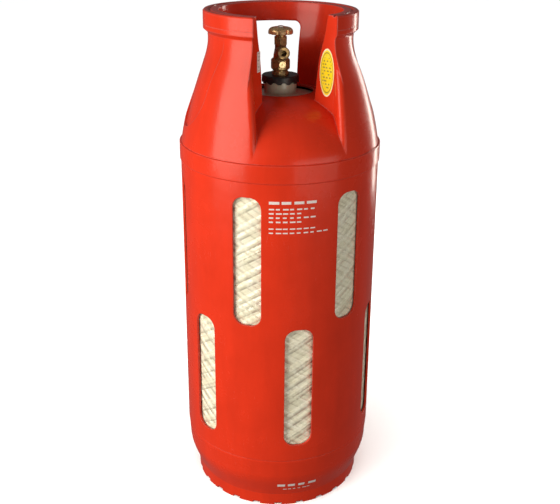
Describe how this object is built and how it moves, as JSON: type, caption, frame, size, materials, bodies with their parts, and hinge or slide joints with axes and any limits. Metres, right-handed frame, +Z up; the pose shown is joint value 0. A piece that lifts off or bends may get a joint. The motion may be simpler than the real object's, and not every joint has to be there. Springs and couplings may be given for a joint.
{
  "type": "propane tank",
  "caption": "Tall composite gas tank in a windowed plastic casing, with a collar open at front and back around a brass valve with a lobed handwheel.",
  "frame": {"origin": "centre of the foot's underside, on the tank's axis", "axes": "+Z up along the tank's axis; -Y out through the collar's open front, where the valve outlet points; +X to the right seen from the front"},
  "size_m": [0.3396, 0.3396, 0.854],
  "materials": {
    "casing_red": "glossy moulded plastic",
    "liner_plastic": "matt",
    "composite": "resin over wound glass fibre",
    "insert_metal": "machined",
    "nut_black": "satin",
    "seal_rubber": "matt",
    "seal_plastic": "matt",
    "valve_brass": "tarnished, forged",
    "wheel_bronze": "dark painted casting",
    "plug_brass": "machined",
    "cap_brass": "bright machined",
    "steel": "plated",
    "sticker_yellow": "printed film",
    "sticker_white": "printed film"
  },
  "bodies": {
    "tank": {"liner": "liner_plastic", "composite_vessel": "composite", "base_casing": "casing_red", "body_casing": "casing_red", "top_casing": "casing_red", "neck_insert": "insert_metal", "neck_nut": "nut_black", "valve_seal": "seal_rubber", "valve_body": "valve_brass", "gland_nut": "valve_brass", "gland_seals": "seal_rubber", "relief_spring": "steel", "relief_cap": "cap_brass", "oval_sticker": "sticker_yellow", "strip_sticker": "sticker_white"},
    "handwheel": {"handwheel": "wheel_bronze", "handwheel_washer": "steel", "handwheel_nut": "steel", "spindle": "steel"},
    "plug": {"plug_carrier": "plug_brass", "plug_seal": "seal_plastic"},
    "relief": {"relief_poppet": "plug_brass", "relief_seal": "seal_rubber"}
  },
  "joints": [
    {"name": "handwheel_turn", "type": "hinge", "parent": "tank", "child": "handwheel", "pos_m": [0, 0, 0.82], "axis": [0, 0, 1], "range_deg": [0, 720]},
    {"name": "plug_lift", "type": "slide", "parent": "handwheel", "child": "plug", "axis": [0, 0, 1], "range_m": [0, 0.0031], "stiffness_N_per_m": 4, "springref_m": 0.0341},
    {"name": "relief_lift", "type": "slide", "parent": "tank", "child": "relief", "axis": [0, -1, 0], "range_m": [0, 0.0012], "stiffness_N_per_m": 3000, "springref_m": -0.003, "deforming": ["relief_spring"]}
  ],
  "couplings": [
    {"joint": "plug_lift", "follows": "handwheel_turn", "m_per_rad": 0.0002387}
  ]
}
